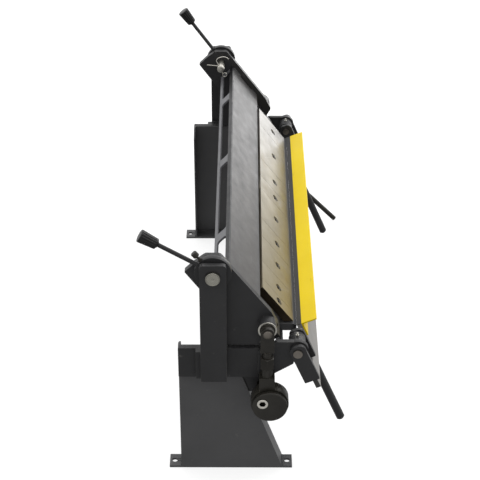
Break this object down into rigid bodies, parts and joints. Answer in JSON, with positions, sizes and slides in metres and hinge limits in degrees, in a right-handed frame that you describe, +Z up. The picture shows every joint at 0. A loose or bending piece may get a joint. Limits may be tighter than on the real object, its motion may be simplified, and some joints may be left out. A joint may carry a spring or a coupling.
{
  "type": "box and pan brake",
  "caption": "Floor-standing manual box and pan brake: two stands, clamping beam with nine fingers, eccentric clamp shaft with end links, folding apron, hand levers.",
  "frame": {"origin": "on the floor, at the centre of the four floor bolt holes", "axes": "+X along the machine to the operator's right end, -Y to the operator, +Z up"},
  "size_m": [1.642, 0.6885, 0.9652],
  "materials": {
    "frame_grey": "satin dark grey paint",
    "light_grey_face": "satin grey paint",
    "safety_yellow": "semi-gloss yellow paint",
    "ground_steel": "ground, lightly oiled",
    "zinc_steel": "zinc plated",
    "oiled_black": "black oxide, oiled",
    "grip_black": "moulded"
  },
  "bodies": {
    "frame": {"bed_front_web": "frame_grey", "bed_plate": "frame_grey", "bed_rear_web": "frame_grey", "left_bearing": "frame_grey", "left_column": "frame_grey", "left_foot": "frame_grey", "left_hinge_bracket": "frame_grey", "left_side_bracket": "frame_grey", "left_stand": "frame_grey", "left_top_pin": "zinc_steel", "right_bearing": "frame_grey", "right_column": "frame_grey", "right_foot": "frame_grey", "right_hinge_bracket": "frame_grey", "right_side_bracket": "frame_grey", "right_stand": "frame_grey", "right_top_pin": "zinc_steel"},
    "clamp_beam": {"beam_finger_seat": "frame_grey", "beam_front_plate": "light_grey_face", "beam_rear_flange": "frame_grey", "finger_1": "ground_steel", "finger_2": "ground_steel", "finger_3": "ground_steel", "finger_4": "ground_steel", "finger_5": "ground_steel", "finger_6": "ground_steel", "finger_7": "ground_steel", "finger_8": "ground_steel", "finger_9": "ground_steel", "left_end_plate": "frame_grey", "right_end_plate": "frame_grey"},
    "clamp_shaft": {"clamp_shaft": "zinc_steel", "left_eccentric": "oiled_black", "right_clamp_rod": "oiled_black", "right_eccentric": "oiled_black"},
    "left_link": {"left_link": "oiled_black"},
    "right_link": {"right_link": "oiled_black"},
    "left_nut": {"left_nut": "oiled_black"},
    "right_nut": {"right_nut": "oiled_black"},
    "left_lever": {"left_grip": "grip_black", "left_lever": "frame_grey"},
    "right_lever": {"right_grip": "grip_black", "right_lever": "frame_grey"},
    "apron": {"apron_angle": "safety_yellow", "apron_leaf": "frame_grey", "left_handle": "frame_grey", "left_hinge_pin": "zinc_steel", "left_inner_arm": "frame_grey", "left_outer_arm": "frame_grey", "right_handle": "frame_grey", "right_hinge_pin": "zinc_steel", "right_inner_arm": "frame_grey", "right_outer_arm": "frame_grey"}
  },
  "joints": [
    {"name": "beam_lift", "type": "hinge", "parent": "frame", "child": "clamp_beam", "pos_m": [0, 0.049, 0.758], "axis": [-1, 0, 0], "range_deg": [0, 7]},
    {"name": "apron_fold", "type": "hinge", "parent": "frame", "child": "apron", "pos_m": [0, -0.201, 0.485], "axis": [1, 0, 0], "range_deg": [-92, 23]},
    {"name": "clamp_turn", "type": "hinge", "parent": "frame", "child": "clamp_shaft", "pos_m": [0, -0.097, 0.334], "axis": [-1, 0, 0], "range_deg": [0, 48]},
    {"name": "left_link_swing", "type": "hinge", "parent": "clamp_shaft", "child": "left_link", "pos_m": [-0.782, -0.11893, 0.32003], "axis": [-1, 0, 0], "range_deg": [-52, 0]},
    {"name": "right_link_swing", "type": "hinge", "parent": "clamp_shaft", "child": "right_link", "pos_m": [0.782, -0.11893, 0.32003], "axis": [-1, 0, 0], "range_deg": [-52, 0]},
    {"name": "left_nut_turn", "type": "hinge", "parent": "left_link", "child": "left_nut", "pos_m": [-0.782, -0.11, 0.464], "axis": [0, 0, 1], "continuous": true},
    {"name": "right_nut_turn", "type": "hinge", "parent": "right_link", "child": "right_nut", "pos_m": [0.782, -0.11, 0.464], "axis": [0, 0, 1], "continuous": true},
    {"name": "left_lever_turn", "type": "hinge", "parent": "frame", "child": "left_lever", "pos_m": [-0.746, 0.049, 0.758], "axis": [1, 0, 0], "range_deg": [-21, 69]},
    {"name": "right_lever_turn", "type": "hinge", "parent": "frame", "child": "right_lever", "pos_m": [0.746, 0.049, 0.758], "axis": [1, 0, 0], "range_deg": [-44, 46]}
  ],
  "couplings": [
    {"joint": "clamp_turn", "follows": "beam_lift", "ratio": 6.8},
    {"joint": "left_link_swing", "follows": "beam_lift", "ratio": -7.39},
    {"joint": "right_link_swing", "follows": "beam_lift", "ratio": -7.39}
  ]
}
